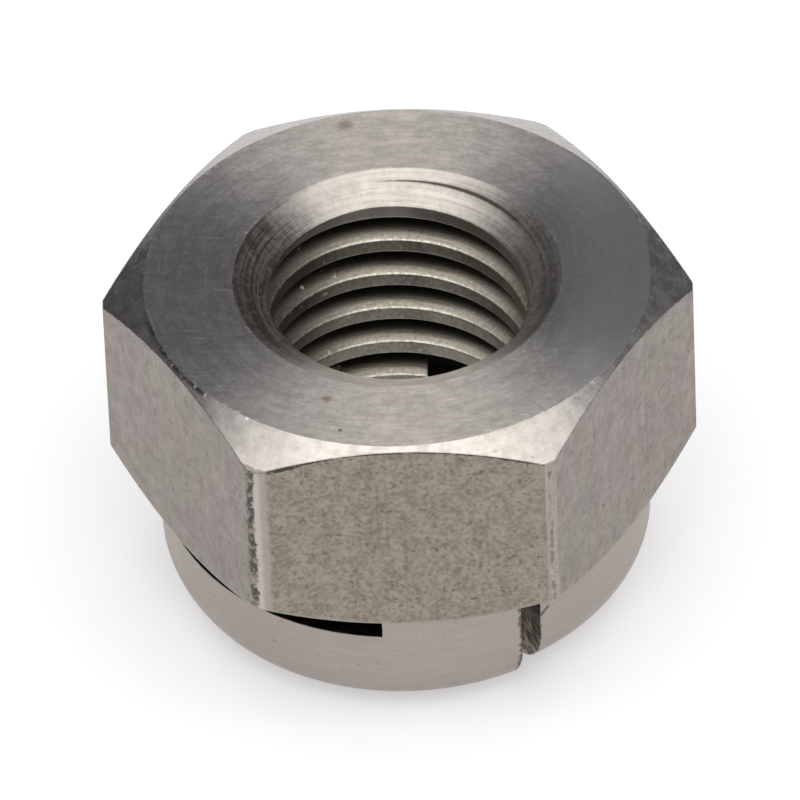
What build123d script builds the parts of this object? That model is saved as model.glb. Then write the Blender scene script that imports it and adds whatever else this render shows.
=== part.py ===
from build123d import *
from build123d.topology import SkipClean
import math
import os

# One-piece all-metal lock nut, millimetres.
# Origin: centre of the collar end, on the surface the nut stands on.
# +Z: thread axis, towards the bearing face.

# Sizes of the hexagon
across_flats = 17.0
total_height = 12.2
bearing_face_dia = 16.63
corner_land_dia = 19.4
top_chamfer_angle = 31.5
flat_length = 7.65
underside_angle = 33.0

# Sizes of the collar and its rounded end
collar_dia = 16.22
end_radius = 2.06
end_break_angle = 8.0
end_chamfer_width = 0.12

# Thread M10 x 1.5, right hand; the groove height is taken where the groove passes +Y
thread_pitch = 1.5
thread_minor_dia = 8.54
thread_depth = 0.76
thread_flank_angle = 30.0
thread_root_width = 0.152
thread_groove_z = 9.015
sink_width = 0.378
sink_angle = 30.0

# Slits that free the arm ends, and slots that free the arms from the hexagon
slit_width = 0.73
slit_angle = -60.0
slit_above_slot = 0.06
slot_ceiling_drop = 7.84
slot_height = 0.805
slot_end_x = 0.83

# Set of the two arms: how far the free end is bent up, and the stretch that bends
arm_set = 0.363
arm_root_angle = 132.0
arm_bend_span = 113.0

# Working values
tool_over = 1.0
bore_reach = 0.4
section_step = 10.0
slot_sweep = 150.0
half_turn = 180.0
full_turn = 360.0
bore_quarters = 4

minor_r = thread_minor_dia / 2
major_r = minor_r + thread_depth
groove_mouth = thread_root_width + 2 * thread_depth * math.tan(math.radians(thread_flank_angle))
collar_r = collar_dia / 2
land_r = corner_land_dia / 2
flat_r = across_flats / 2
hex_bottom_z = total_height - flat_length
slot_ceiling_z = total_height - slot_ceiling_drop
slot_floor_z = slot_ceiling_z - slot_height
tool_in_r = minor_r - bore_reach
tool_out_r = collar_r + tool_over


def tan_deg(angle):
    return math.tan(math.radians(angle))


def section(points):
    # Closed outline in the plane through the axis: each point is a radius and a height
    edges = []
    for a, b in zip(points, points[1:] + points[:1]):
        edges.append(Line((a[0], 0, a[1]), (b[0], 0, b[1])))
    return Wire(edges)


def blank():
    # Turned shape: bearing face, countersink, both chamfers of the hexagon and the plain collar
    root_z = hex_bottom_z - (flat_r - collar_r) * tan_deg(underside_angle)
    land_low = root_z + (land_r - collar_r) * tan_deg(underside_angle)
    face_r = bearing_face_dia / 2
    land_high = total_height - (land_r - face_r) * tan_deg(top_chamfer_angle)
    sink_r = major_r + sink_width
    sink_low = total_height - (sink_r - tool_in_r) * tan_deg(sink_angle)
    outline = section([
        (tool_in_r, -tool_over),
        (collar_r, -tool_over),
        (collar_r, root_z),
        (land_r, land_low),
        (land_r, land_high),
        (face_r, total_height),
        (sink_r, total_height),
        (tool_in_r, sink_low),
    ])
    turned = revolve(Face(outline), Axis.Z)
    hexagon = RegularPolygon(flat_r, 6, major_radius=False)
    bar = Pos(0, 0, -2 * tool_over) * extrude(hexagon, total_height + 4 * tool_over)
    return turned & bar


def bore_tools():
    # The bore is cut in quarters, so that each crest of the thread is a run of short faces
    span = full_turn / bore_quarters
    low = -2 * tool_over
    high = total_height + tool_over
    outline = section([(0, low), (minor_r, low), (minor_r, high), (0, high)])
    quarter = revolve(Face(outline), Axis.Z, span)
    return [Rot(0, 0, i * span) * quarter for i in range(bore_quarters)]


def lift(turn):
    # Height the arm is bent up, at an angle measured from its slit towards its root
    u = (arm_root_angle - turn) / arm_bend_span
    u = min(max(u, 0.0), 1.0)
    return arm_set * u**3 * (10.0 - 15.0 * u + 6.0 * u * u)


def swept(make_section, start, end, height):
    # Solid through equal outlines set round the axis from one angle to another
    count = math.ceil((end - start) / section_step)
    wires = []
    for i in range(count + 1):
        angle = start + (end - start) * i / count
        wires.append(Pos(0, 0, height(angle)) * Rot(0, 0, angle) * make_section())
    return Solid.make_loft(wires)


def end_section():
    # Everything outside the rounded end of the collar and its inner chamfer
    centre_r = collar_r - end_radius * math.cos(math.radians(end_break_angle))
    rim_r = centre_r + end_radius
    bulge = end_radius / math.sqrt(2)
    chamfer_r = major_r + end_chamfer_width
    low = -2 * tool_over
    edges = [
        Line((tool_out_r, 0, end_radius), (rim_r, 0, end_radius)),
        ThreePointArc(
            (rim_r, 0, end_radius),
            (centre_r + bulge, 0, end_radius - bulge),
            (centre_r, 0, 0),
        ),
        Line((centre_r, 0, 0), (chamfer_r, 0, 0)),
        Line((chamfer_r, 0, 0), (tool_in_r, 0, chamfer_r - tool_in_r)),
        Line((tool_in_r, 0, chamfer_r - tool_in_r), (tool_in_r, 0, low)),
        Line((tool_in_r, 0, low), (tool_out_r, 0, low)),
        Line((tool_out_r, 0, low), (tool_out_r, 0, end_radius)),
    ]
    return Wire(edges)


def end_tool(start):
    # Shapes the end of one arm and the post next to it, from slit to slit
    return swept(end_section, start, start + half_turn, lambda a: lift(a - start))


def slit_tool(start):
    # Straight cut through the collar wall that frees the end of an arm
    low = -2 * tool_over
    box = Box(
        land_r,
        slit_width,
        slot_ceiling_z + slit_above_slot - low,
        align=(Align.MIN, Align.CENTER, Align.MIN),
    )
    return Rot(0, 0, start) * Pos(tool_in_r, 0, low) * box


def slot_section():
    # Room above the floor of a slot, to well above its ceiling
    high = slot_ceiling_z + tool_over
    return section([
        (tool_in_r, slot_floor_z),
        (tool_out_r, slot_floor_z),
        (tool_out_r, high),
        (tool_in_r, high),
    ])


def slot_tool(start):
    # Slot above one arm: floor that follows the bent arm, level ceiling, straight end at the root
    ring = swept(slot_section, slit_angle, slit_angle + slot_sweep, lambda a: lift(a - slit_angle))
    room = Pos(slot_end_x, 0, 0) * Box(
        2 * land_r,
        4 * land_r,
        slot_ceiling_z,
        align=(Align.MIN, Align.CENTER, Align.MIN),
    )
    return Rot(0, 0, start - slit_angle) * (ring & room)


def groove_section():
    # Space between two crests, open towards the axis
    outer = thread_root_width / 2
    inner = outer + (major_r - tool_in_r) * tan_deg(thread_flank_angle)
    return section([
        (tool_in_r, -inner),
        (major_r, -outer),
        (major_r, outer),
        (tool_in_r, inner),
    ])


def groove_height(angle):
    # Height of the thread groove on the undisturbed helix
    return thread_groove_z + thread_pitch * (angle - full_turn / 4) / full_turn


def groove_tool(start, in_arm):
    # Thread groove over half a turn, from slit to slit; in an arm it is carried up with the bend
    if in_arm:
        return swept(
            groove_section, start, start + half_turn, lambda a: groove_height(a) + lift(a - start)
        )
    return swept(groove_section, start, start + half_turn, groove_height)


def thread_tools():
    # Half turns of groove, from below the collar end to above the bearing face
    rise = thread_pitch / 2
    slit_z = groove_height(slit_angle)
    first = math.floor((-groove_mouth / 2 - slit_z) / rise)
    last = math.ceil((total_height + groove_mouth / 2 - slit_z) / rise)
    tools = []
    for i in range(first, last):
        start = slit_angle + i * half_turn
        tools.append(groove_tool(start, groove_height(start) < slot_floor_z))
    return tools


def lock_nut():
    with SkipClean():
        body = blank().cut(*bore_tools())
        for start in (slit_angle, slit_angle + half_turn):
            body = body - end_tool(start)
            body = body - slot_tool(start)
            body = body - slit_tool(start)
        for tool in thread_tools():
            body = body - tool
    return body


nut = lock_nut()
os.makedirs("parts", exist_ok=True)
export_step(nut, "parts/lock_nut.step")
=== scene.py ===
import bpy
import math
from mathutils import Matrix, Vector


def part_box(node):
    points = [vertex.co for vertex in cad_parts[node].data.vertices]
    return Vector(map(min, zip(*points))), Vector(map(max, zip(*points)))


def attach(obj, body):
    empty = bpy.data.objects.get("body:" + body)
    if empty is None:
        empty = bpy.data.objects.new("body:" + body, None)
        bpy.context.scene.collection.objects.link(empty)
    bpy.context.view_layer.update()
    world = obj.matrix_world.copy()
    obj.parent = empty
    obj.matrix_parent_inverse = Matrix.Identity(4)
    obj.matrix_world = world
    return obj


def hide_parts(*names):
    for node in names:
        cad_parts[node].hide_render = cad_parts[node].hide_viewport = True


# The lock nut, dressed in worn stainless steel. The scene is in metres, the patterns in millimetres.
MM = 0.001


def rgb(r, g, b):
    return (r, g, b, 1.0)


# Camera fitted to the photograph: angles in degrees, lengths in millimetres, and how far to the right of
# and above the middle of the bearing face it aims
CAMERA_ELEVATION = 41.97
CAMERA_AZIMUTH = -0.94
CAMERA_ROLL = 2.40
CAMERA_DISTANCE = 500.0
CAMERA_WIDTH_AT_NUT = 26.234
CAMERA_SENSOR = 36.0
CAMERA_AIM_RIGHT = 0.105
CAMERA_AIM_UP = -4.063

# Nearest and farthest that the camera sees, metres
CAMERA_NEAR = 0.05
CAMERA_FAR = 20.0

# Luminance of the overhead softbox, and of the room at the softbox's edge and far from it, and their tints
SOFTBOX = 2.12
ROOM_HIGH = 0.24
ROOM_LOW = 0.09
SOFTBOX_TINT = rgb(1.0, 0.96, 0.915)
ROOM_TINT = rgb(0.97, 0.97, 1.0)

# Angles of the softbox, degrees: its lean to the right and to the front, where it begins to fade, where it
# has gone, and where the room is darkest
SOFTBOX_SIDE = 2.0
SOFTBOX_TILT = 12.0
SOFTBOX_INNER = 19.0
SOFTBOX_OUTER = 52.0
ROOM_FALL = 100.0

# Floor: side in metres, how far it lies under the nut in millimetres, its finish, and its own light
FLOOR_SIZE = 6.0
FLOOR_DROP = 0.02
FLOOR_COLOUR = rgb(0.74, 0.755, 0.775)
FLOOR_GLOW_COLOUR = rgb(1.0, 1.0, 1.0)
FLOOR_ROUGH = 0.9
FLOOR_GLOW = 0.42

# Sizes of the nut that tell one kind of surface from another, millimetres
FLAT_R = 8.5
LAND_R = 9.7
FACE_R = 8.315
SINK_R = 5.408
CREST_R = 4.27
GROOVE_R = 5.03
COLLAR_R = 8.11
UNDERSIDE_ROOT_Z = 4.297
SLOT_CEILING_Z = 4.36
SLIT_TOP_Z = 4.42
SLIT_WIDTH = 0.73

# Slopes of its cones, and the directions that the flats and the walls of the slits face, degrees from X
SINK_SLOPE = math.tan(math.radians(30.0))
CHAMFER_SLOPE = math.tan(math.radians(31.5))
UNDERSIDE_SLOPE = math.tan(math.radians(33.0))
FLAT_NORMALS = (-30.0, 30.0, 90.0)
SLIT_NORMAL = 30.0

# The least of a facet's normal that points up, down, sideways or outwards if it belongs to a surface, and
# the most that points up or down if it is upright
TURN_LEVEL = 0.99
TURN_SINK = 0.7
TURN_CHAMFER = 0.5
TURN_UPRIGHT = 0.1
TURN_SLIT = 0.999
TURN_SLOT_ROOF = 0.97
TURN_SLOT_END = 0.999
TURN_OUTWARD = 0.3
TURN_END = 0.6

# Height above which all of the thread that looks up is dressed as countersink, height below which the
# collar's end lies, and how near to a surface its facets lie, millimetres
SINK_THREAD_Z = 11.0
END_HIGH_Z = 0.9
NEAR_FACE = 0.01
NEAR_SINK = 0.04
NEAR_FLAT = 0.01
NEAR_LAND = 0.05
NEAR_GROOVE = 0.2
NEAR_CEILING = 0.005

# Below, a noise is its scale, detail and roughness. Rings are lines per millimetre, how far they wander,
# detail and roughness. Streaks are lines per millimetre, and cells per millimetre along them. A band is
# the value at which a mark is absent and the one at which it is full. A coat is a colour laid over the
# metal, and the most of it that shows. Bumps are in millimetres.
FULL = 1.0

# Values that most of a noise lies between, its mean, depth of the marks against that of the grain,
# noise of the streaks, and turn of the grain in radians
NOISE_BAND = (0.3, 0.7)
NOISE_MEAN = 0.5
MARK_RELIEF = 0.6
STREAK_NOISE = (1.0, 3.0, 0.7)
GRAIN_TURN = (0.9, 0.6, 0.4)

# Rubbed edges, painted lighter, which is wear and a painted edge highlight, and their colour on the bearing
# face and countersink, and on the hexagon's sides
STEEL_WORN_SHEEN = rgb(0.8, 0.77, 0.73)
HEXAGON_WORN_SHEEN = rgb(0.52, 0.48, 0.44)
EDGE_RADIUS = 0.08
EDGE_SAMPLES = 6
EDGE_BAND = (0.995, 0.9)
EDGE_PATCHES = (2.2, 3.0, 0.7)
EDGE_PATCH_BAND = (0.4, 0.62)
EDGE_SHARE = 0.7

# Single marks: place and radius, or place and half length, in millimetres
STAINS = ((-1.63, 7.64, 0.4), (-2.34, -5.92, 0.24))
TORN = ((-4.3, 2.75, 0.42), (-4.75, 2.0, 0.38))
PIT = (-1.93, -7.44, 0.12)
BURRS = (
    (-7.57, -3.09, 0.06),
    (-7.38, -3.98, 0.08),
    (-6.63, -5.09, 0.08),
    (-6.31, -5.49, 0.08),
    (-4.94, -6.72, 0.1),
    (-4.74, 2.71, 0.09),
    (-4.94, 2.42, 0.09),
    (-5.24, 1.79, 0.08),
)
SCRATCHES = (
    (-6.72, -2.39, 0.38),
    (-6.5, -2.75, 0.2),
    (-5.72, -0.42, 0.26),
    (-5.96, 2.17, 0.3),
    (-6.9, 1.5, 0.14),
)
TICK = ((4.41, -6.81, 3.21), (4.47, -6.77, 3.27), (4.54, -6.72, 3.34), (4.6, -6.68, 3.4))
TICK_RADIUS = 0.08

# Edges of the single marks: a noise, and bands in shares of the radius or of half the size
SPOT_NOISE = (4.0, 3.0, 0.7)
SPOT_BAND = (1.5, 0.7)
TICK_BAND = (1.2, 0.7)
SCRATCH_BAND = (1.3, 0.5)

# Scratches: half their width, and how far their right end lies behind their middle, millimetres
SCRATCH_WIDTH = 0.035
SCRATCH_SLANT = -0.04

# Strips along a front corner: its direction in degrees, then in millimetres the strip's two sides, how
# ragged and how soft they are, and how far out from the axis it begins
ROUGH_CORNER = 240.0
PITTED_CORNER = 300.0
CORNER_OUT = 9.25
CORNER_TOP_OUT = 9.53
ROUGH_STRIP = (ROUGH_CORNER, -0.25, 0.05, 0.6, 0.05, CORNER_OUT)
BRIGHT_STRIP = (ROUGH_CORNER, 0.03, 0.27, 0.16, 0.07, CORNER_OUT)
SMOOTH_STRIP = (ROUGH_CORNER, 0.25, 0.46, 0.2, 0.1, CORNER_OUT)
CHAMFER_STRIP = (ROUGH_CORNER, -0.7, 0.7, 0.3, 0.05, CORNER_TOP_OUT)
PITTED_STRIP = (PITTED_CORNER, -0.1, 0.04, 0.14, 0.04, CORNER_OUT)
STRIP_NOISE = (3.5, 4.0, 0.7)
STRIP_BEGIN_SOFT = 0.05
WEAR_PATCHES = (2.6, 4.0, 0.75)
WEAR_PATCH_BAND = (0.42, 0.56)
WEAR_PATCH_SHARES = (0.25, 1.0)
WEAR_SMOOTH = (rgb(0.375, 0.343, 0.303), FULL)
WEAR_BRIGHT = (rgb(0.48, 0.445, 0.405), FULL)
WEAR_ROUGH = (rgb(0.085, 0.077, 0.068), FULL)

# Bearing face; dashes, smudges and lines are cells per millimetre along X and along Y, a level, and a noise
FACE_RINGS = (9.0, 1.6, 3.0, 0.7)
FACE_WIDE_RINGS = (2.2, 1.0, 3.0, 0.7)
FACE_CLOUD = (0.9, 4.0, 0.6)
FACE_GRAIN = (7.0, 3.0, 0.6)
FACE_SHARES = (0.3, 0.45, 0.35)
FACE_CONTRAST = (0.36, 0.64)
FACE_DARK = rgb(0.45, 0.438, 0.432)
FACE_PALE = rgb(0.65, 0.63, 0.616)
# Painted sheen: the front and rear of the bearing face are painted warmer and lighter
FACE_WARM_SHEEN = (rgb(0.555, 0.508, 0.475), 0.5)
FACE_SHEEN_BAND = (0.8, 0.35)
FACE_DASHES = (2.6, 13.0, 0.0, (1.0, 2.0, 0.5))
FACE_DASH_BAND = (0.65, 0.75)
FACE_SCRATCH = (rgb(0.9, 0.88, 0.86), 0.7)
FACE_OUTER_RIM = (FACE_R - 0.16, FACE_R - 0.04)
FACE_INNER_RIM = (SINK_R + 0.12, SINK_R + 0.04)
FACE_BURR = (rgb(0.95, 0.93, 0.9), FULL)
FACE_BURR_NOISE = (4.6, 2.0, 0.5)
FACE_BURR_BAND = (0.57, 0.66)
FACE_BURR_SIDES = (1.5, 5.0)
FACE_BURR_SHARES = (0.15, 0.7)
FACE_SMUDGES = (0.9, 4.5, 0.0, (1.0, 4.0, 0.65))
FACE_SMUDGE_BAND = (0.5, 0.66)
FACE_SMUDGE = (rgb(0.27, 0.26, 0.255), 0.3)
FACE_LINES = (1.8, 9.0, 3.0, (1.0, 3.0, 0.6))
FACE_LINE_BAND = (0.62, 0.7)
FACE_LINE = (rgb(0.22, 0.205, 0.195), 0.35)
FACE_ARCS = (5.0, 4.0, 4.0, 0.7)
FACE_ARC_BAND = (0.42, 0.62)
FACE_ARC = (rgb(0.34, 0.322, 0.31), 0.34)
FACE_MOTTLES = (2.4, 4.0, 0.7)
FACE_MOTTLE_BAND = (0.44, 0.64)
FACE_MOTTLE = (rgb(0.34, 0.322, 0.31), 0.4)
# Painted sheen: the right side of the bearing face is painted lighter
FACE_RIGHT_SHEEN_BAND = (4.6, 6.8)
FACE_RIGHT_SHEEN = (rgb(0.68, 0.665, 0.66), 0.7)
FACE_STAIN = (rgb(0.2, 0.145, 0.09), 0.62)
FACE_PIT = (rgb(0.1, 0.09, 0.08), 0.8)
FACE_ROUGH = (0.4, 0.46)
FACE_SPREAD = 0.94
FACE_BUMP = 0.005

# Turned cones: the top chamfer and the countersink
CONE_RINGS = (10.0, 1.2, 3.0, 0.7)
CONE_SMEARS = (0.5, 9.0, 4.0, 0.7)
CONE_CLOUD = (1.3, 4.0, 0.6)
CONE_SHARES = (0.3, 0.45)

# Top chamfer
CHAMFER_GRAIN = (2.4, 4.0, 0.65)
CHAMFER_SHARES = (0.5,)
CHAMFER_CONTRAST = (0.38, 0.62)
CHAMFER_DARK = rgb(0.38, 0.362, 0.34)
CHAMFER_PALE = rgb(0.57, 0.552, 0.528)
# Painted shade on the top chamfer towards both front corners
CHAMFER_FRONT_SHADE = (rgb(0.3, 0.28, 0.25), 0.2)
CHAMFER_FRONT_SIDES = (2.2, 4.2)
CHAMFER_FRONT_BAND = (-3.0, -5.0)
CHAMFER_LAND = (rgb(0.27, 0.248, 0.22), FULL)
CHAMFER_NICKS = (3.2, 3.0, 0.6)
CHAMFER_NICK_BAND = (0.68, 0.75)
CHAMFER_NICK = (rgb(0.2, 0.18, 0.16), 0.6)
# Painted shade: the left of the top chamfer is painted darker
CHAMFER_LEFT_SHADE = (rgb(0.22, 0.205, 0.2), 0.5)
CHAMFER_LEFT_SHADE_BAND = (-5.5, -8.0)
CHAMFER_RIM = (rgb(0.07, 0.065, 0.06), 0.85)
CHAMFER_RIM_NOISE = (3.0, 3.0, 0.7)
CHAMFER_RIM_PATCHES = (0.38, 0.54)
CHAMFER_RIM_BAND = (FACE_R + 0.2, FACE_R + 0.06)
CHAMFER_RIM_LEFT = (-5.9, -6.4)
CHAMFER_RIM_FRONT = (-1.0, -2.4)
CHAMFER_FLECK = (rgb(0.9, 0.88, 0.85), 0.7)
CHAMFER_FLECK_NOISE = (5.0, 2.0, 0.5)
CHAMFER_FLECK_PATCHES = (0.65, 0.72)
CHAMFER_FLECK_BAND = (FACE_R + 0.22, FACE_R + 0.12)
CHAMFER_FLECK_SIDES = (4.2, 5.6)
CHAMFER_ROUGH = (0.22, 0.32)
CHAMFER_SPREAD = 0.3
CHAMFER_BUMP = 0.008
CHAMFER_WORN_SHEEN = rgb(0.75, 0.72, 0.68)

# Countersink
SINK_CONTRAST = (0.36, 0.64)
SINK_DARK = rgb(0.42, 0.397, 0.365)
SINK_PALE = rgb(0.64, 0.612, 0.576)
# Painted light: the front wall of the countersink is painted paler
SINK_FRONT_LIGHT = (rgb(0.88, 0.825, 0.765), 0.7)
SINK_FRONT_LIGHT_BAND = (-2.5, -4.5)
SINK_RINGS = (11.0, 0.9, 3.0, 0.7)
SINK_GRAIN = (5.0, 3.0, 0.65)
SINK_STREAK_SHARES = (0.4,)
SINK_STREAK_BAND = (0.5, 0.62)
SINK_STREAK = (rgb(0.27, 0.245, 0.22), 0.35)
# Painted shade on the side walls of the countersink, more at the left, broken up by streaks along the turn
SINK_SIDES = (0.45, 0.9)
SINK_LEFT_TO_RIGHT = (-1.0, 1.0)
SINK_SIDE_SHARES = (1.0, 0.64)
SINK_SIDE_STREAKS = (0.4, 0.6)
SINK_SIDE_STREAK_SHARES = (0.35, 0.9)
SINK_SIDE_SHADE_GREY = rgb(0.11, 0.098, 0.09)
SINK_SIDE_SHADE_RED = rgb(0.14, 0.088, 0.068)
SINK_SHADE_RED_BAND = (-3.4, -4.4)
SINK_TORN = (rgb(0.06, 0.052, 0.045), 0.55)
SINK_ROUGH = (0.36, 0.43)
SINK_SPREAD = 0.88
SINK_BUMP = 0.012

# Flats; the front one and the rear one differ a little from the four at the sides
FLAT_GRAIN = (6.2, 2.0, 0.5)
FLAT_STREAKS = (5.0, 0.15)
FLAT_CLOUD = (1.4, 4.0, 0.6)
FLAT_SHARES = (0.16, 0.3)
FLAT_SIDE_BAND = (4.2, 5.2)
FLAT_COARSE = (3.0, 3.0, 0.6)
FLAT_COARSE_SHARE = 0.3
FLAT_CONTRAST = (0.34, 0.66)
FLAT_DARK = rgb(0.203, 0.174, 0.146)
FLAT_PALE = rgb(0.374, 0.325, 0.275)
FLAT_SIDE_DARK = rgb(0.212, 0.186, 0.166)
FLAT_SIDE_PALE = rgb(0.362, 0.318, 0.282)
FLAT_TINTS = (0.5, 3.0, 0.5)
FLAT_TINT_STRETCH = 0.5
FLAT_LILAC_BAND = (0.48, 0.68)
FLAT_LILAC_DARK = (rgb(0.21, 0.177, 0.19), 0.6)
FLAT_LILAC_PALE = (rgb(0.355, 0.306, 0.322), 0.6)
FLAT_GREEN_BAND = (0.5, 0.32)
FLAT_GREEN_DARK = (rgb(0.204, 0.197, 0.178), 0.5)
FLAT_GREEN_PALE = (rgb(0.338, 0.329, 0.302), 0.5)
FLAT_PIT_NOISE = (5.0, 2.0, 0.5)
FLAT_PIT_BAND = (0.64, 0.71)
FLAT_PIT = (rgb(0.1, 0.087, 0.075), 0.5)
FLAT_DRAWN_STREAKS = (3.2, 0.05)
FLAT_DRAWN_BAND = (0.63, 0.7)
FLAT_DRAWN = (rgb(0.14, 0.12, 0.11), 0.3)
# Painted shadow under the burr lip at the top of the front flat
FLAT_LIP_SHADOW = (rgb(0.05, 0.044, 0.038), 0.9)
FLAT_LIP_BAND = (0.09, 0.05)
FLAT_LIP_LEFT_BAND = (-4.0, -2.4)
FLAT_LIP_SHIFTS = (-0.1, 0.01)
FLAT_LIP_NOISE = (3.2, 4.0, 0.75)
FLAT_LIP_RAGGED = 0.22
FLAT_LIP_GAPS = (2.5, 3.0, 0.7)
FLAT_LIP_GAP_BAND = (0.36, 0.5)
FLAT_LIP_FRONT = (-8.3, -8.45)
# Painted highlight along the lower edge of the flats
FLAT_LOW_HIGHLIGHT = (rgb(0.36, 0.365, 0.315), 0.55)
FLAT_LOW_HIGHLIGHT_BAND = (0.11, 0.03)
FLAT_ROUGH = (0.36, 0.5)
FLAT_BUMP = 0.015

# Corner lands
LAND_STREAKS = (9.0, 0.25)
LAND_GRAIN = (8.0, 2.0, 0.5)
LAND_SHARES = (0.5,)
LAND_CONTRAST = (0.34, 0.66)
LAND_DARK = rgb(0.29, 0.257, 0.222)
LAND_PALE = rgb(0.43, 0.387, 0.34)
LAND_PIT_NOISE = (3.6, 3.0, 0.6)
LAND_PIT_BAND = (0.47, 0.57)
LAND_PIT = (rgb(0.13, 0.117, 0.1), 0.6)
LAND_ROUGH = (0.32, 0.44)
LAND_BUMP = 0.014

# Collar, its end and the underside of the hexagon
COLLAR_RINGS = (7.0, 3.0, 3.0, 0.7)
COLLAR_GRAIN = (9.0, 2.0, 0.5)
COLLAR_CLOUD = (0.9, 4.0, 0.6)
COLLAR_SHARES = (0.45, 0.45)
COLLAR_CONTRAST = (0.32, 0.68)
COLLAR_DARK = rgb(0.36, 0.318, 0.285)
COLLAR_PALE = rgb(0.43, 0.386, 0.35)
COLLAR_SPECKS = (4.2, 2.0, 0.5)
COLLAR_SPECK_BAND = (0.7, 0.76)
COLLAR_SPECK = (rgb(0.17, 0.15, 0.13), 0.6)
COLLAR_NICKS = (4.5, 3.0, 0.7)
COLLAR_NICK_SHIFT = 0.05
COLLAR_NICK_RAGGED = 0.5
COLLAR_NICK_BAND = (0.32, 0.24)
COLLAR_NICK_COLOUR = rgb(0.08, 0.068, 0.058)
COLLAR_NICK_SHARE = 0.75
COLLAR_ROUGH = (0.36, 0.44)
COLLAR_SPREAD = 0.5
COLLAR_BUMP = 0.005
COLLAR_WORN_SHEEN = rgb(0.6, 0.56, 0.52)

# Thread
THREAD_RINGS = (9.0, 2.0, 3.0, 0.7)
THREAD_GRAIN = (7.0, 4.0, 0.7)
THREAD_SHARES = (0.6,)
THREAD_CONTRAST = (0.34, 0.66)
THREAD_DARK = rgb(0.235, 0.221, 0.185)
THREAD_PALE = rgb(0.48, 0.456, 0.392)
THREAD_SPECKS = (6.0, 2.0, 0.5)
THREAD_SPECK_BAND = (0.6, 0.74)
THREAD_SPECK = (rgb(0.8, 0.77, 0.69), 0.3)
# Painted highlight along the upper edge of each crest
THREAD_LIP_HIGHLIGHT = (rgb(0.9, 0.87, 0.79), FULL)
THREAD_LIP_TURN = (0.2, 0.4)
THREAD_LIP_BAND = (CREST_R + 0.08, CREST_R + 0.03)
THREAD_LIP_PATCHES = (0.42, 0.6)
THREAD_LIP_PATCH_SHARES = (0.2, 0.8)
THREAD_LIP_RIGHT = (1.2, 3.2)
THREAD_LIP_RIGHT_SHARES = (1.0, 0.3)
# Painted shade deep in the grooves of the thread
THREAD_GROOVE_SHADE = (rgb(0.06, 0.055, 0.045), FULL)
THREAD_GROOVE_SHADE_BAND = (CREST_R + 0.14, CREST_R + 0.52)
THREAD_GROOVE_SHADE_RAGGED = 0.2
# Painted shade: the left of the thread is painted darker
THREAD_LEFT_SHADE = (rgb(0.11, 0.095, 0.08), 0.6)
THREAD_LEFT_SHADE_BAND = (-1.2, -3.2)
# Painted glints: bright flecks on the left of the thread
THREAD_GLINTS = (3.4, 2.0, 0.5)
THREAD_GLINT_BAND = (0.7, 0.74)
THREAD_GLINT_LEFT = (-1.5, -2.5)
THREAD_GLINT = (rgb(0.85, 0.82, 0.76), 0.8)
THREAD_MOUTH_BAND = (10.75, 11.2)
THREAD_ROUGH = (0.32, 0.44)
THREAD_BUMP = 0.014
THREAD_WORN_SHEEN = rgb(0.92, 0.88, 0.79)

# Slots
SLOT_RINGS = (8.0, 1.0, 3.0, 0.7)
SLOT_CLOUD = (1.6, 3.0, 0.5)
SLOT_SHARES = (0.4,)
SLOT_CONTRAST = (0.36, 0.64)
# Both colours are kept dark: painted shade inside the cut, over dark oxide
SLOT_DARK = rgb(0.05, 0.045, 0.04)
SLOT_PALE = rgb(0.13, 0.12, 0.105)
SLOT_ROUGH = (0.36, 0.48)
SLOT_BUMP = 0.01
SLOT_WORN_SHEEN = rgb(0.3, 0.28, 0.25)

# Slits
SLIT_WAVES = (1.6, 3.0, 0.7)
SLIT_WAVE = 0.45
SLIT_SLANT = 0.14
SLIT_MARKS_PER_MM = 5.0
SLIT_MARK_WANDER = 1.2
SLIT_MARKS = (1.0, 4.0, 0.75)
SLIT_CLOUD = (3.0, 4.0, 0.7)
SLIT_SHARES = (0.4,)
SLIT_CONTRAST = (0.42, 0.6)
SLIT_DARK = rgb(0.1, 0.083, 0.07)
SLIT_PALE = rgb(0.68, 0.61, 0.52)
# Painted shade at the top of the slit walls, under the hexagon
SLIT_TOP_SHADE = (rgb(0.06, 0.048, 0.042), 0.8)
SLIT_TOP_SHADE_BAND = (SLIT_TOP_Z - 2.2, SLIT_TOP_Z - 0.8)
SLIT_ROUGH = (0.5, 0.34)
SLIT_BUMP = 0.04
SLIT_WORN_SHEEN = rgb(0.6, 0.55, 0.5)


# Kinds of mix node, and where the two inputs and the output of each kind are among the node's sockets
MIX_COLOURS = ("RGBA", 6, 7, 2)
MIX_NUMBERS = ("FLOAT", 2, 3, 0)


def direction(angle):
    # Level direction, at an angle in degrees from X
    return Vector((math.cos(math.radians(angle)), math.sin(math.radians(angle)), 0.0))


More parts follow.
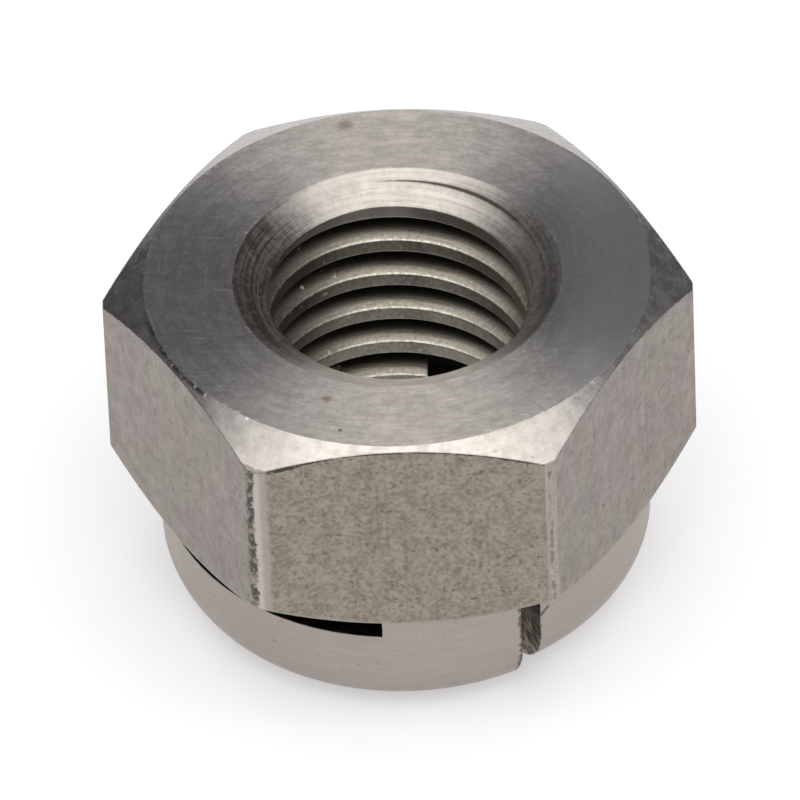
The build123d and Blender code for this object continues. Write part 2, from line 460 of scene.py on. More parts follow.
class Nodes:
    # A node tree under construction

    def __init__(self, tree):
        self.tree = tree

    def add(self, kind, **settings):
        node = self.tree.nodes.new(kind)
        for key, value in settings.items():
            setattr(node, key, value)
        return node

    def link(self, source, target):
        self.tree.links.new(source, target)

    def feed(self, socket, value):
        if isinstance(value, bpy.types.NodeSocket):
            self.link(value, socket)
        else:
            socket.default_value = value

    def math(self, operation, a, b=0.0, **settings):
        node = self.add("ShaderNodeMath", operation=operation, **settings)
        self.feed(node.inputs[0], a)
        self.feed(node.inputs[1], b)
        return node.outputs[0]

    def plus(self, a, b):
        return self.math("ADD", a, b)

    def minus(self, a, b):
        return self.math("SUBTRACT", a, b)

    def times(self, *factors):
        total = factors[0]
        for factor in factors[1:]:
            total = self.math("MULTIPLY", total, factor)
        return total

    def larger(self, a, b):
        return self.math("MAXIMUM", a, b)

    def absolute(self, a):
        return self.math("ABSOLUTE", a)

    def distance(self, a, b):
        return self.math("SQRT", self.plus(self.times(a, a), self.times(b, b)))

    def vector(self, x, y, z):
        node = self.add("ShaderNodeCombineXYZ")
        for socket, value in zip(node.inputs, (x, y, z)):
            self.feed(socket, value)
        return node.outputs[0]

    def dot(self, a, b):
        node = self.add("ShaderNodeVectorMath", operation="DOT_PRODUCT")
        self.feed(node.inputs[0], a)
        self.feed(node.inputs[1], b)
        return node.outputs["Value"]

    def ramp(self, value, band, ends):
        # Smooth step from one end to the other across the band
        node = self.add("ShaderNodeMapRange", interpolation_type="SMOOTHSTEP")
        self.feed(node.inputs["Value"], value)
        node.inputs["From Min"].default_value = band[0]
        node.inputs["From Max"].default_value = band[1]
        node.inputs["To Min"].default_value = ends[0]
        node.inputs["To Max"].default_value = ends[1]
        return node.outputs[0]

    def fade(self, value, band):
        # Smooth step from 0 to 1 across the band
        return self.ramp(value, band, (0.0, 1.0))

    def mix(self, factor, a, b, sockets=MIX_COLOURS):
        # Colour a where the factor is 0, colour b where it is 1
        kind, first, second, result = sockets
        node = self.add("ShaderNodeMix", data_type=kind)
        self.feed(node.inputs[0], factor)
        self.feed(node.inputs[first], a)
        self.feed(node.inputs[second], b)
        return node.outputs[result]

    def mix_numbers(self, factor, a, b):
        return self.mix(factor, a, b, MIX_NUMBERS)


class Shader(Nodes):
    # Node tree of one metal surface, with the place on the nut in millimetres

    def __init__(self, name):
        self.material = bpy.data.materials.new(name)
        self.material.use_nodes = True
        super().__init__(self.material.node_tree)
        self.bsdf = self.tree.nodes["Principled BSDF"]
        self.bsdf.inputs["Metallic"].default_value = 1.0
        coords = self.add("ShaderNodeTexCoord")
        scale = self.add("ShaderNodeVectorMath", operation="SCALE")
        self.link(coords.outputs["Object"], scale.inputs[0])
        scale.inputs["Scale"].default_value = 1.0 / MM
        self.place = scale.outputs[0]
        split = self.add("ShaderNodeSeparateXYZ")
        self.link(self.place, split.inputs[0])
        self.x, self.y, self.z = split.outputs
        self.r = self.distance(self.x, self.y)
        self.cosine = self.math("DIVIDE", self.x, self.r)
        self.sine = self.math("DIVIDE", self.y, self.r)
        self.geometry = self.add("ShaderNodeNewGeometry")

    def out(self, angle):
        # Distance from the axis in one direction
        ahead = direction(angle)
        return self.plus(self.times(self.x, ahead.x), self.times(self.y, ahead.y))

    def across(self, angle):
        # Distance sideways from the line that runs from the axis in that direction
        ahead = direction(angle)
        return self.minus(self.times(self.y, ahead.x), self.times(self.x, ahead.y))

    def outward(self):
        return self.vector(self.x, self.y, 0.0)

    def noise(self, vector, texture):
        node = self.add("ShaderNodeTexNoise")
        self.link(vector, node.inputs["Vector"])
        for name, value in zip(("Scale", "Detail", "Roughness"), texture):
            node.inputs[name].default_value = value
        return node.outputs["Fac"]

    def cloud(self, texture):
        # Noise in the nut's own axes
        return self.noise(self.place, texture)

    def grain(self, texture):
        # Even grain, turned out of the axes so that its cells don't line up with the edges
        turned = self.add("ShaderNodeVectorRotate", rotation_type="EULER_XYZ")
        self.link(self.place, turned.inputs["Vector"])
        turned.inputs["Rotation"].default_value = GRAIN_TURN
        return self.noise(turned.outputs[0], texture)

    def ragged(self, value, pattern, amount):
        # Shifts a distance to and fro by a pattern, so that the edge drawn with it is ragged
        return self.plus(value, self.times(self.minus(pattern, NOISE_MEAN), amount))

    def rings(self, spacing, lines):
        # Lines that run round the axis; spacing is the radius or the height that they are spaced along
        per_mm, wander, detail, rough = lines
        turned = self.vector(
            self.times(spacing, per_mm),
            self.times(self.cosine, wander),
            self.times(self.sine, wander),
        )
        return self.noise(turned, (1.0, detail, rough))

    def streaks(self, lines):
        # Lines that run parallel to the axis
        per_mm, along = lines
        drawn = self.vector(
            self.times(self.x, per_mm),
            self.times(self.y, per_mm),
            self.times(self.z, along),
        )
        return self.noise(drawn, STREAK_NOISE)

    def dashes(self, pattern):
        # Dashes along X; where the level differs, so does the pattern
        along, across, level, texture = pattern
        drawn = self.vector(self.times(self.x, along), self.times(self.y, across), level)
        return self.noise(drawn, texture)

    def layers(self, patterns, shares):
        # Weighted sum of patterns: each one after the first is given its share in turn
        total = patterns[0]
        for pattern, share in zip(patterns[1:], shares):
            total = self.plus(self.times(total, 1.0 - share), self.times(pattern, share))
        return total

    def coats(self, colour, *coats):
        # Lays coats over a colour in turn, each where its mask is one
        for (paint, share), mask in coats:
            colour = self.mix(self.times(mask, share), colour, paint)
        return colour

    def spot(self, x, y, radius):
        # One inside a round spot on the bearing face, with a ragged edge
        away = self.distance(self.minus(self.x, x), self.minus(self.y, y))
        edge = self.plus(away, self.times(self.cloud(SPOT_NOISE), radius))
        return self.fade(edge, [part * radius for part in SPOT_BAND])

    def any_spot(self, spots):
        # One inside any of the round spots
        marks = self.spot(*spots[0])
        for place in spots[1:]:
            marks = self.larger(marks, self.spot(*place))
        return marks

    def tick(self):
        # One inside any of the small balls in a row beside the front slit
        marks = 0.0
        for centre in TICK:
            away = self.add("ShaderNodeVectorMath", operation="DISTANCE")
            self.link(self.place, away.inputs[0])
            away.inputs[1].default_value = centre
            inside = self.fade(away.outputs["Value"], [part * TICK_RADIUS for part in TICK_BAND])
            marks = self.larger(inside, marks)
        return marks

    def scratch(self, x, y, half):
        # One inside a thin, slightly slanted scratch along X
        along = self.math("DIVIDE", self.minus(self.x, x), half)
        across = self.minus(self.y, self.times(along, SCRATCH_SLANT))
        across = self.minus(self.math("DIVIDE", across, SCRATCH_WIDTH), y / SCRATCH_WIDTH)
        return self.fade(self.distance(along, across), SCRATCH_BAND)

    def strip(self, corner, left, right, ragged, soft, begin):
        # One inside an upright strip beside a corner of the hexagon
        pattern = self.cloud(STRIP_NOISE)
        across = self.ragged(self.across(corner), pattern, ragged)
        return self.times(
            self.fade(across, (left - soft, left + soft)),
            self.fade(across, (right + soft, right - soft)),
            self.fade(self.ragged(self.out(corner), pattern, ragged), (begin, begin + STRIP_BEGIN_SOFT)),
        )

    def worn_and_highlit_edges(self, colour, worn, soft):
        # Rubs the colour off along the edges, in patches, and so paints them lighter: wear and a painted
        # edge highlight
        turn = self.dot(soft, self.geometry.outputs["Normal"])
        patchy = self.fade(self.cloud(EDGE_PATCHES), EDGE_PATCH_BAND)
        return self.coats(colour, ((worn, EDGE_SHARE), self.times(self.fade(turn, EDGE_BAND), patchy)))

    def finish(self, colour, rough, height, depth, worn):
        # Links the patterns; depth is the bump's, worn is the colour that the edges are rubbed to, which is
        # also their painted highlight
        soft = self.add("ShaderNodeBevel", samples=EDGE_SAMPLES)
        soft.inputs["Radius"].default_value = EDGE_RADIUS * MM
        self.feed(self.bsdf.inputs["Base Color"], self.worn_and_highlit_edges(colour, worn, soft.outputs[0]))
        self.link(rough, self.bsdf.inputs["Roughness"])
        bump = self.add("ShaderNodeBump")
        bump.inputs["Distance"].default_value = depth * MM
        self.link(height, bump.inputs["Height"])
        self.link(soft.outputs[0], bump.inputs["Normal"])
        self.link(bump.outputs[0], self.bsdf.inputs["Normal"])
        return self.material

    def spread(self, tangent, amount):
        # Fine tool marks spread a reflection across themselves, along the tangent
        self.bsdf.inputs["Anisotropic"].default_value = amount
        self.link(tangent, self.bsdf.inputs["Tangent"])


def face_scratches(nut):
    # Short scratches: a fine pattern of them, and the single ones
    scratch = nut.fade(nut.dashes(FACE_DASHES), FACE_DASH_BAND)
    for place in SCRATCHES:
        scratch = nut.larger(scratch, nut.scratch(*place))
    return scratch


def face_burrs(nut):
    # Burrs along both rims, more of them at the sides, and the single ones
    rims = nut.larger(nut.fade(nut.r, FACE_OUTER_RIM), nut.fade(nut.r, FACE_INNER_RIM))
    side = nut.ramp(nut.absolute(nut.x), FACE_BURR_SIDES, FACE_BURR_SHARES)
    burr = nut.times(rims, side, nut.fade(nut.cloud(FACE_BURR_NOISE), FACE_BURR_BAND))
    return nut.larger(burr, nut.any_spot(BURRS))


def face_steel():
    # Bearing face: faint turned rings, short scratches, stains, and burrs along both rims, with a painted
    # sheen on its front and rear and on its right side
    nut = Shader("bearing_face_steel")
    fine = nut.rings(nut.r, FACE_RINGS)
    wide = nut.rings(nut.r, FACE_WIDE_RINGS)
    cloud = nut.cloud(FACE_CLOUD)
    tone = nut.layers((fine, wide, cloud, nut.grain(FACE_GRAIN)), FACE_SHARES)
    burr = face_burrs(nut)
    pit = nut.spot(*PIT)
    colour = nut.coats(
        nut.mix(nut.fade(tone, FACE_CONTRAST), FACE_DARK, FACE_PALE),
        (FACE_WARM_SHEEN, nut.fade(nut.absolute(nut.cosine), FACE_SHEEN_BAND)),
        (FACE_SCRATCH, face_scratches(nut)),
        (FACE_BURR, burr),
        (FACE_SMUDGE, nut.fade(nut.dashes(FACE_SMUDGES), FACE_SMUDGE_BAND)),
        (FACE_LINE, nut.fade(nut.dashes(FACE_LINES), FACE_LINE_BAND)),
        (FACE_ARC, nut.fade(nut.rings(nut.r, FACE_ARCS), FACE_ARC_BAND)),
        (FACE_MOTTLE, nut.fade(nut.grain(FACE_MOTTLES), FACE_MOTTLE_BAND)),
        (FACE_RIGHT_SHEEN, nut.fade(nut.x, FACE_RIGHT_SHEEN_BAND)),
        (FACE_STAIN, nut.any_spot(STAINS)),
        (FACE_PIT, pit),
    )
    nut.spread(nut.outward(), FACE_SPREAD)
    height = nut.minus(nut.plus(tone, nut.times(burr, MARK_RELIEF)), pit)
    return nut.finish(colour, nut.ramp(cloud, NOISE_BAND, FACE_ROUGH), height, FACE_BUMP, STEEL_WORN_SHEEN)


def cone_tone(nut):
    # Faint turned lines and smears on a cone
    fine = nut.rings(nut.r, CONE_RINGS)
    smears = nut.rings(nut.r, CONE_SMEARS)
    return nut.layers((fine, smears, nut.cloud(CONE_CLOUD)), CONE_SHARES)


def chamfer_rim(nut):
    # Dark, torn stretch of the bearing face's rim, at the left front
    return nut.times(
        nut.fade(nut.r, CHAMFER_RIM_BAND),
        nut.fade(nut.x, CHAMFER_RIM_LEFT),
        nut.fade(nut.y, CHAMFER_RIM_FRONT),
        nut.fade(nut.cloud(CHAMFER_RIM_NOISE), CHAMFER_RIM_PATCHES),
    )


def chamfer_flecks(nut):
    # Bright flecks along the bearing face's rim, at both sides, and the single burrs
    flecks = nut.times(
        nut.fade(nut.cloud(CHAMFER_FLECK_NOISE), CHAMFER_FLECK_PATCHES),
        nut.fade(nut.r, CHAMFER_FLECK_BAND),
        nut.fade(nut.absolute(nut.x), CHAMFER_FLECK_SIDES),
    )
    return nut.larger(flecks, nut.any_spot(BURRS))


def chamfer_steel():
    # Top chamfer of the hexagon: a smooth turned cone, smeared and nicked, with painted shade towards the
    # front corners and at the left
    nut = Shader("chamfer_steel")
    tone = nut.layers((cone_tone(nut), nut.grain(CHAMFER_GRAIN)), CHAMFER_SHARES)
    nick = nut.fade(nut.cloud(CHAMFER_NICKS), CHAMFER_NICK_BAND)
    # Painted shade towards the front corners of the chamfer
    sides = nut.fade(nut.absolute(nut.x), CHAMFER_FRONT_SIDES)
    front = nut.times(sides, nut.fade(nut.y, CHAMFER_FRONT_BAND))
    colour = nut.coats(
        nut.mix(nut.fade(tone, CHAMFER_CONTRAST), CHAMFER_DARK, CHAMFER_PALE),
        (CHAMFER_FRONT_SHADE, front),
        (CHAMFER_LAND, nut.strip(*CHAMFER_STRIP)),
        (CHAMFER_NICK, nick),
        (CHAMFER_LEFT_SHADE, nut.fade(nut.x, CHAMFER_LEFT_SHADE_BAND)),
        (CHAMFER_RIM, chamfer_rim(nut)),
        (CHAMFER_FLECK, chamfer_flecks(nut)),
    )
    nut.spread(nut.outward(), CHAMFER_SPREAD)
    rough = nut.ramp(tone, NOISE_BAND, CHAMFER_ROUGH)
    height = nut.minus(tone, nut.times(nick, MARK_RELIEF))
    return nut.finish(colour, rough, height, CHAMFER_BUMP, CHAMFER_WORN_SHEEN)


def sink_colour(nut, tone):
    # Countersink: cream, with turned lines and streaks, painted light on its front wall, and painted shade
    # on its side walls, more at the left and reddish at the far left, broken up by the streaks along the
    # turn
    streak = nut.layers((nut.rings(nut.r, SINK_RINGS), nut.grain(SINK_GRAIN)), SINK_STREAK_SHARES)
    side = nut.times(
        nut.fade(nut.absolute(nut.cosine), SINK_SIDES),
        nut.ramp(nut.x, SINK_LEFT_TO_RIGHT, SINK_SIDE_SHARES),
        nut.ramp(streak, SINK_SIDE_STREAKS, SINK_SIDE_STREAK_SHARES),
    )
    side_shade_colour = nut.mix(nut.fade(nut.x, SINK_SHADE_RED_BAND), SINK_SIDE_SHADE_GREY, SINK_SIDE_SHADE_RED)
    return nut.coats(
        nut.mix(nut.fade(tone, SINK_CONTRAST), SINK_DARK, SINK_PALE),
        (SINK_FRONT_LIGHT, nut.fade(nut.y, SINK_FRONT_LIGHT_BAND)),
        (SINK_STREAK, nut.fade(streak, SINK_STREAK_BAND)),
        ((side_shade_colour, FULL), side),
        (SINK_TORN, nut.any_spot(TORN)),
    )


def sink_steel():
    # Countersink: rougher than the chamfer outside, so that its front wall is light as well
    nut = Shader("countersink_steel")
    tone = cone_tone(nut)
    rough = nut.ramp(tone, NOISE_BAND, SINK_ROUGH)
    nut.spread(nut.outward(), SINK_SPREAD)
    return nut.finish(sink_colour(nut, tone), rough, tone, SINK_BUMP, STEEL_WORN_SHEEN)


def corner_wear(nut, colour):
    # Rough burr strip and bright rubbed strips along the left front corner
    patchy = nut.ramp(nut.grain(WEAR_PATCHES), WEAR_PATCH_BAND, WEAR_PATCH_SHARES)
    rough = nut.times(nut.strip(*ROUGH_STRIP), patchy)
    colour = nut.coats(
        colour,
        (WEAR_SMOOTH, nut.strip(*SMOOTH_STRIP)),
        (WEAR_BRIGHT, nut.strip(*BRIGHT_STRIP)),
        (WEAR_ROUGH, rough),
    )
    return colour, rough


def flat_tints(nut, side):
    # Dark and pale colour of the flats, with lilac and green temper tints on those at the sides
    tint = nut.noise(nut.vector(nut.x, nut.y, nut.times(nut.z, FLAT_TINT_STRETCH)), FLAT_TINTS)
    lilac = nut.times(nut.fade(tint, FLAT_LILAC_BAND), side)
    green = nut.times(nut.fade(tint, FLAT_GREEN_BAND), side)
    dark = nut.mix(side, FLAT_DARK, FLAT_SIDE_DARK)
    pale = nut.mix(side, FLAT_PALE, FLAT_SIDE_PALE)
    dark = nut.coats(dark, (FLAT_LILAC_DARK, lilac), (FLAT_GREEN_DARK, green))
    pale = nut.coats(pale, (FLAT_LILAC_PALE, lilac), (FLAT_GREEN_PALE, green))
    return dark, pale


def flat_lip_shadow(nut, height):
    # Dark, ragged burr lip and its painted shadow, where the front flat meets the top chamfer
    depth = nut.minus(height + FACE_R * CHAMFER_SLOPE, nut.plus(nut.times(nut.r, CHAMFER_SLOPE), nut.z))
    depth = nut.plus(depth, nut.ramp(nut.x, FLAT_LIP_LEFT_BAND, FLAT_LIP_SHIFTS))
    depth = nut.ragged(depth, nut.grain(FLAT_LIP_NOISE), FLAT_LIP_RAGGED)
    return nut.times(
        nut.fade(depth, FLAT_LIP_BAND),
        nut.fade(nut.cloud(FLAT_LIP_GAPS), FLAT_LIP_GAP_BAND),
        nut.fade(nut.y, FLAT_LIP_FRONT),
    )


def flat_low_highlight(nut):
    # Painted highlight along the rounded lower edge of the flats, above the cone of the underside
    above = nut.minus(nut.z, UNDERSIDE_ROOT_Z - COLLAR_R * UNDERSIDE_SLOPE)
    return nut.fade(nut.minus(above, nut.times(nut.r, UNDERSIDE_SLOPE)), FLAT_LOW_HIGHLIGHT_BAND)


def flat_steel(height):
    # Drawn flats: dull, mottled with fine pits, with faint lines along the bar and temper tints, a painted
    # shadow under the lip of the front flat, and a painted highlight along their lower edge
    nut = Shader("flat_steel")
    grain = nut.grain(FLAT_GRAIN)
    side = nut.fade(nut.absolute(nut.x), FLAT_SIDE_BAND)
    tone = nut.layers((grain, nut.streaks(FLAT_STREAKS), nut.cloud(FLAT_CLOUD)), FLAT_SHARES)
    coarse = nut.minus(nut.grain(FLAT_COARSE), grain)
    tone = nut.plus(tone, nut.times(coarse, side, FLAT_COARSE_SHARE))
    pits = nut.fade(nut.cloud(FLAT_PIT_NOISE), FLAT_PIT_BAND)
    colour = nut.coats(
        nut.mix(nut.fade(tone, FLAT_CONTRAST), *flat_tints(nut, side)),
        (FLAT_PIT, pits),
        (FLAT_DRAWN, nut.fade(nut.streaks(FLAT_DRAWN_STREAKS), FLAT_DRAWN_BAND)),
        (FLAT_LIP_SHADOW, flat_lip_shadow(nut, height)),
        (FLAT_LOW_HIGHLIGHT, flat_low_highlight(nut)),
    )
    colour, worn = corner_wear(nut, colour)
    relief = nut.minus(tone, nut.times(nut.plus(pits, worn), MARK_RELIEF))
    return nut.finish(colour, nut.ramp(grain, NOISE_BAND, FLAT_ROUGH), relief, FLAT_BUMP, HEXAGON_WORN_SHEEN)


def land_steel():
    # Narrow round lands on the corners: lined along the bar, one rough, one with a row of pits
    nut = Shader("corner_steel")
    grain = nut.cloud(LAND_GRAIN)
    tone = nut.layers((nut.streaks(LAND_STREAKS), grain), LAND_SHARES)
    pits = nut.times(nut.strip(*PITTED_STRIP), nut.fade(nut.cloud(LAND_PIT_NOISE), LAND_PIT_BAND))
    colour = nut.coats(nut.mix(nut.fade(tone, LAND_CONTRAST), LAND_DARK, LAND_PALE), (LAND_PIT, pits))
    colour, worn = corner_wear(nut, colour)
    relief = nut.minus(tone, nut.times(nut.plus(pits, worn), MARK_RELIEF))
    return nut.finish(colour, nut.ramp(grain, NOISE_BAND, LAND_ROUGH), relief, LAND_BUMP, HEXAGON_WORN_SHEEN)


def collar_nicks(nut):
    # Ragged dark nicks along both sides of the slits, and the tick beside the front one
    beside = nut.absolute(nut.plus(nut.out(SLIT_NORMAL), COLLAR_NICK_SHIFT))
    beside = nut.minus(beside, SLIT_WIDTH / 2)
    beside = nut.plus(beside, nut.times(nut.grain(COLLAR_NICKS), COLLAR_NICK_RAGGED))
    return nut.larger(nut.fade(beside, COLLAR_NICK_BAND), nut.tick())


def collar_steel():
    # Collar, its rounded end and the hexagon's underside: satin, with faint turned lines round the axis,
    # a few specks, and nicks beside the slits
    nut = Shader("collar_steel")
    cloud = nut.cloud(COLLAR_CLOUD)
    tone = nut.layers((nut.rings(nut.z, COLLAR_RINGS), nut.cloud(COLLAR_GRAIN), cloud), COLLAR_SHARES)
    nick = collar_nicks(nut)
    colour = nut.coats(
        nut.mix(nut.fade(tone, COLLAR_CONTRAST), COLLAR_DARK, COLLAR_PALE),
        (COLLAR_SPECK, nut.fade(nut.cloud(COLLAR_SPECKS), COLLAR_SPECK_BAND)),
        ((COLLAR_NICK_COLOUR, COLLAR_NICK_SHARE), nick),
    )
    nut.spread(nut.vector(0.0, 0.0, 1.0), COLLAR_SPREAD)
    worn = nut.mix(nick, COLLAR_WORN_SHEEN, COLLAR_NICK_COLOUR)
    return nut.finish(colour, nut.ramp(cloud, NOISE_BAND, COLLAR_ROUGH), tone, COLLAR_BUMP, worn)


def thread_lip_highlight(nut, grain):
    # Painted highlight along the upper edge of each crest, where it faces up, less of it at the right
    facing = nut.add("ShaderNodeSeparateXYZ")
    nut.link(nut.geometry.outputs["Normal"], facing.inputs[0])
    return nut.times(
        nut.fade(facing.outputs["Z"], THREAD_LIP_TURN),
        nut.fade(nut.r, THREAD_LIP_BAND),
        nut.ramp(grain, THREAD_LIP_PATCHES, THREAD_LIP_PATCH_SHARES),
        nut.ramp(nut.x, THREAD_LIP_RIGHT, THREAD_LIP_RIGHT_SHARES),
    )


def thread_steel():
    # Thread: olive grey crests and flanks with specks, painted highlights on the crests' upper edges and
    # painted glints at the left, and painted shade deep in the grooves and at the left
    nut = Shader("thread_steel")
    grain = nut.cloud(THREAD_GRAIN)
    tone = nut.layers((nut.rings(nut.r, THREAD_RINGS), grain), THREAD_SHARES)
    glint = nut.fade(nut.grain(THREAD_GLINTS), THREAD_GLINT_BAND)
    glint = nut.times(glint, nut.fade(nut.x, THREAD_GLINT_LEFT))
    colour = nut.coats(
        nut.mix(nut.fade(tone, THREAD_CONTRAST), THREAD_DARK, THREAD_PALE),
        (THREAD_SPECK, nut.fade(nut.cloud(THREAD_SPECKS), THREAD_SPECK_BAND)),
        (THREAD_LIP_HIGHLIGHT, thread_lip_highlight(nut, grain)),
        (THREAD_GROOVE_SHADE, nut.fade(nut.ragged(nut.r, grain, THREAD_GROOVE_SHADE_RAGGED), THREAD_GROOVE_SHADE_BAND)),
        (THREAD_LEFT_SHADE, nut.fade(nut.x, THREAD_LEFT_SHADE_BAND)),
        (THREAD_GLINT, glint),
    )
    colour = nut.mix(nut.fade(nut.z, THREAD_MOUTH_BAND), colour, sink_colour(nut, cone_tone(nut)))
    return nut.finish(colour, nut.ramp(grain, NOISE_BAND, THREAD_ROUGH), tone, THREAD_BUMP, THREAD_WORN_SHEEN)


def slot_steel():
    # Walls of the slots: dark, as painted shade inside the cut over dark oxide, with fine marks along the
    # cut
    nut = Shader("slot_steel")
    marks = nut.rings(nut.r, SLOT_RINGS)
    tone = nut.layers((marks, nut.cloud(SLOT_CLOUD)), SLOT_SHARES)
    colour = nut.mix(nut.fade(tone, SLOT_CONTRAST), SLOT_DARK, SLOT_PALE)
    return nut.finish(colour, nut.ramp(tone, NOISE_BAND, SLOT_ROUGH), marks, SLOT_BUMP, SLOT_WORN_SHEEN)


def slit_marks(nut):
    # Slanting, uneven saw marks
    slanted = nut.plus(nut.z, nut.times(nut.r, SLIT_SLANT))
    across = nut.plus(slanted, nut.times(nut.cloud(SLIT_WAVES), SLIT_WAVE))
    sawn = nut.vector(
        nut.times(across, SLIT_MARKS_PER_MM),
        nut.times(nut.x, SLIT_MARK_WANDER),
        nut.times(nut.y, SLIT_MARK_WANDER),
    )
    return nut.noise(sawn, SLIT_MARKS)


def slit_steel():
    # Walls of the slits: saw marks, with painted shade at the top, under the hexagon
    nut = Shader("slit_steel")
    marks = slit_marks(nut)
    tone = nut.layers((marks, nut.cloud(SLIT_CLOUD)), SLIT_SHARES)
    sawn = nut.mix(nut.fade(tone, SLIT_CONTRAST), SLIT_DARK, SLIT_PALE)
    colour = nut.coats(sawn, (SLIT_TOP_SHADE, nut.fade(nut.z, SLIT_TOP_SHADE_BAND)))
    return nut.finish(colour, nut.ramp(marks, NOISE_BAND, SLIT_ROUGH), marks, SLIT_BUMP, SLIT_WORN_SHEEN)


def materials(height):
    # One material for each kind of surface; height is that of the bearing face
    return {
        "face": face_steel(),
        "chamfer": chamfer_steel(),
        "sink": sink_steel(),
        "flat": flat_steel(height),
        "land": land_steel(),
        "collar": collar_steel(),
        "thread": thread_steel(),
        "slot": slot_steel(),
        "slit": slit_steel(),
    }


def on_sink(r, z, height):
    # On the countersink, or on the first turn of the thread, which runs out into it
    cone_z = height - (SINK_R - r) * SINK_SLOPE
    return r < SINK_R and (abs(cone_z - z) < NEAR_SINK or z > SINK_THREAD_Z)


def on_slit(centre, normal):
    # On one of the two flat walls of a slit
    side = direction(SLIT_NORMAL)
    in_cut = abs(centre.dot(side)) < SLIT_WIDTH and centre.z < SLIT_TOP_Z
    return in_cut and abs(normal.dot(side)) > TURN_SLIT


def hexagon_zone(centre, normal, height):
    # Kind of surface on the hexagon and in its countersink, or None
    r = math.hypot(centre.x, centre.y)
    out = max(abs(centre.dot(direction(angle))) for angle in FLAT_NORMALS)
    if normal.z > TURN_LEVEL and centre.z > height - NEAR_FACE:
        return "face"
    if normal.z > TURN_SINK and on_sink(r, centre.z, height):
        return "sink"
    if normal.z > TURN_CHAMFER and centre.z > SLIT_TOP_Z and r > SINK_R:
        return "chamfer"
    if abs(normal.z) < TURN_UPRIGHT and out > FLAT_R - NEAR_FLAT:
        return "flat"
    if abs(normal.z) < TURN_UPRIGHT and r > LAND_R - NEAR_LAND:
        return "land"
    return None


def collar_zone(centre, normal):
    # Kind of surface on the collar, in its cuts and on the thread
    r = math.hypot(centre.x, centre.y)
    if on_slit(centre, normal):
        return "slit"
    if r < GROOVE_R + NEAR_GROOVE:
        in_slot = abs(normal.z) > TURN_SLOT_ROOF or abs(normal.x) > TURN_SLOT_END
        return "slot" if in_slot else "thread"
    if (normal.x * centre.x + normal.y * centre.y) / r > TURN_OUTWARD:
        return "collar"
    under_hexagon = centre.z > SLOT_CEILING_Z + NEAR_CEILING
    if normal.z < -TURN_END and (under_hexagon or centre.z < END_HIGH_Z):
        return "collar"
    return "slot"


def dressed_nut(node, height):
    # The nut itself, each facet with the material of the surface it belongs to
    mesh = node.data.copy()
    mesh.name = "lock_nut_steel"
    mesh.materials.clear()
    made = materials(height)
    names = list(made)
    for name in names:
        mesh.materials.append(made[name])
    for polygon in mesh.polygons:
        centre = polygon.center / MM
        kind = hexagon_zone(centre, polygon.normal, height) or collar_zone(centre, polygon.normal)
        polygon.material_index = names.index(kind)
    piece = bpy.data.objects.new("lock_nut_steel", mesh)
    bpy.context.scene.collection.objects.link(piece)
    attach(piece, "root")
    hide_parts("lock_nut")


def floor_white():
    # White floor that takes the nut's shadow; its glow is seen, also in reflections, but lights nothing
    material = bpy.data.materials.new("floor_white")
    material.use_nodes = True
    nodes = Nodes(material.node_tree)
    bsdf = nodes.tree.nodes["Principled BSDF"]
    bsdf.inputs["Base Color"].default_value = FLOOR_COLOUR
    bsdf.inputs["Roughness"].default_value = FLOOR_ROUGH
    bsdf.inputs["Specular IOR Level"].default_value = 0.0
    bsdf.inputs["Emission Color"].default_value = FLOOR_GLOW_COLOUR
    rays = nodes.add("ShaderNodeLightPath").outputs
    seen = rays["Is Camera Ray"]
    for name in ("Is Glossy Ray", "Is Transmission Ray"):
        seen = nodes.math("ADD", seen, rays[name], use_clamp=True)
    nodes.link(nodes.times(seen, FLOOR_GLOW), bsdf.inputs["Emission Strength"])
    return material


def floor():
    mesh = bpy.data.meshes.new("floor")
    half = FLOOR_SIZE / 2
    z = -FLOOR_DROP * MM
    points = [(-half, -half, z), (half, -half, z), (half, half, z), (-half, half, z)]
    mesh.from_pydata(points, [], [(0, 1, 2, 3)])
    mesh.materials.append(floor_white())
    plane = bpy.data.objects.new("floor", mesh)
    bpy.context.scene.collection.objects.link(plane)


def cosines(*angles):
    return [math.cos(math.radians(angle)) for angle in angles]


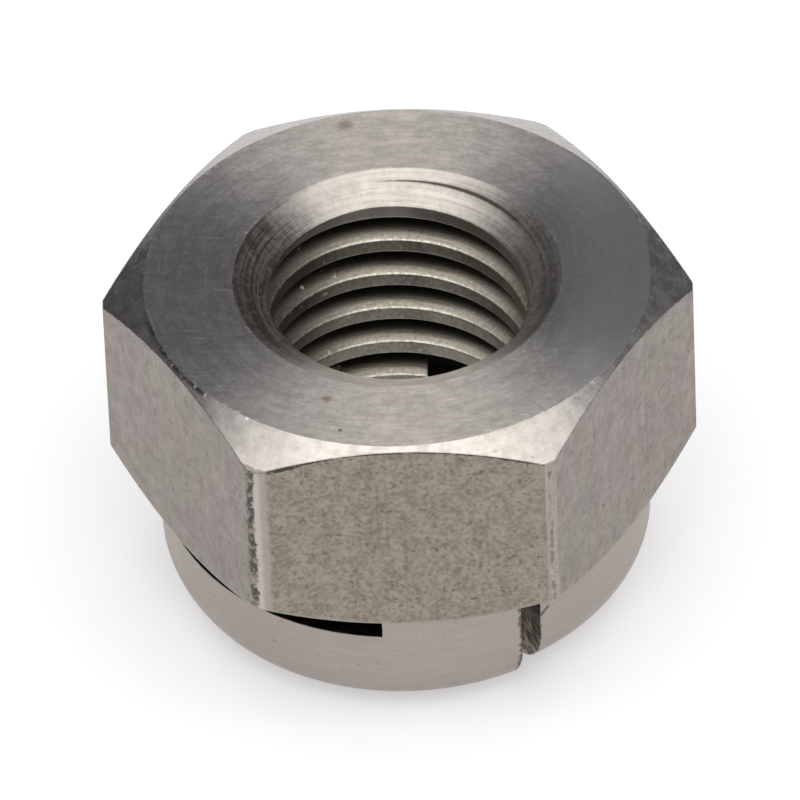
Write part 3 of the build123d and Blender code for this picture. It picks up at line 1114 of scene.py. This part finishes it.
def light():
    # One broad softbox overhead, a little towards the camera, in a dim room
    world = bpy.data.worlds.new("studio")
    bpy.context.scene.world = world
    world.use_nodes = True
    nodes = Nodes(world.node_tree)
    coords = nodes.add("ShaderNodeTexCoord")
    lean = [math.tan(math.radians(angle)) for angle in (SOFTBOX_SIDE, -SOFTBOX_TILT)]
    turn = nodes.dot(coords.outputs["Generated"], Vector((*lean, 1.0)).normalized())
    near = nodes.fade(turn, cosines(SOFTBOX_OUTER, SOFTBOX_INNER))
    room = nodes.ramp(turn, cosines(ROOM_FALL, SOFTBOX_OUTER), (ROOM_LOW, ROOM_HIGH))
    back = nodes.tree.nodes["Background"]
    nodes.link(nodes.mix(near, ROOM_TINT, SOFTBOX_TINT), back.inputs["Color"])
    nodes.link(nodes.mix_numbers(near, room, SOFTBOX), back.inputs["Strength"])


def camera(face_centre):
    # Camera at the photograph's viewing angle, aimed from the middle of the bearing face
    azimuth = math.radians(CAMERA_AZIMUTH)
    elevation = math.radians(CAMERA_ELEVATION)
    roll = math.radians(CAMERA_ROLL)
    ahead = Vector((math.sin(azimuth), math.cos(azimuth), 0))
    right = Vector((math.cos(azimuth), -math.sin(azimuth), 0))
    look = ahead * math.cos(elevation) - Vector((0, 0, math.sin(elevation)))
    up = ahead * math.sin(elevation) + Vector((0, 0, math.cos(elevation)))
    turned_right = right * math.cos(roll) - up * math.sin(roll)
    turned_up = right * math.sin(roll) + up * math.cos(roll)
    aim = face_centre + (turned_right * CAMERA_AIM_RIGHT + turned_up * CAMERA_AIM_UP) * MM
    data = bpy.data.cameras.new("camera")
    data.sensor_width = CAMERA_SENSOR
    data.lens = CAMERA_SENSOR * CAMERA_DISTANCE / CAMERA_WIDTH_AT_NUT
    data.clip_start = CAMERA_NEAR
    data.clip_end = CAMERA_FAR
    eye = bpy.data.objects.new("camera", data)
    bpy.context.scene.collection.objects.link(eye)
    axes = Matrix((turned_right, turned_up, -look)).transposed().to_4x4()
    eye.matrix_world = Matrix.Translation(aim - look * CAMERA_DISTANCE * MM) @ axes
    bpy.context.scene.camera = eye


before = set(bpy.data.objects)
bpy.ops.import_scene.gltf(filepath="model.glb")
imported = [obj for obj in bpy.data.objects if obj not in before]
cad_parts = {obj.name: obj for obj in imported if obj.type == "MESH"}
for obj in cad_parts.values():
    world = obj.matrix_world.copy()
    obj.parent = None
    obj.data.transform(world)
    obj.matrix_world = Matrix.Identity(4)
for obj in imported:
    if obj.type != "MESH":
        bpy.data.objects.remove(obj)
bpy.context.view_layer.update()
low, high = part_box("lock_nut")

dressed_nut(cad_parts["lock_nut"], high.z / MM)
floor()
light()
camera(Vector((0, 0, high.z)))
bpy.context.scene.view_settings.view_transform = "Standard"
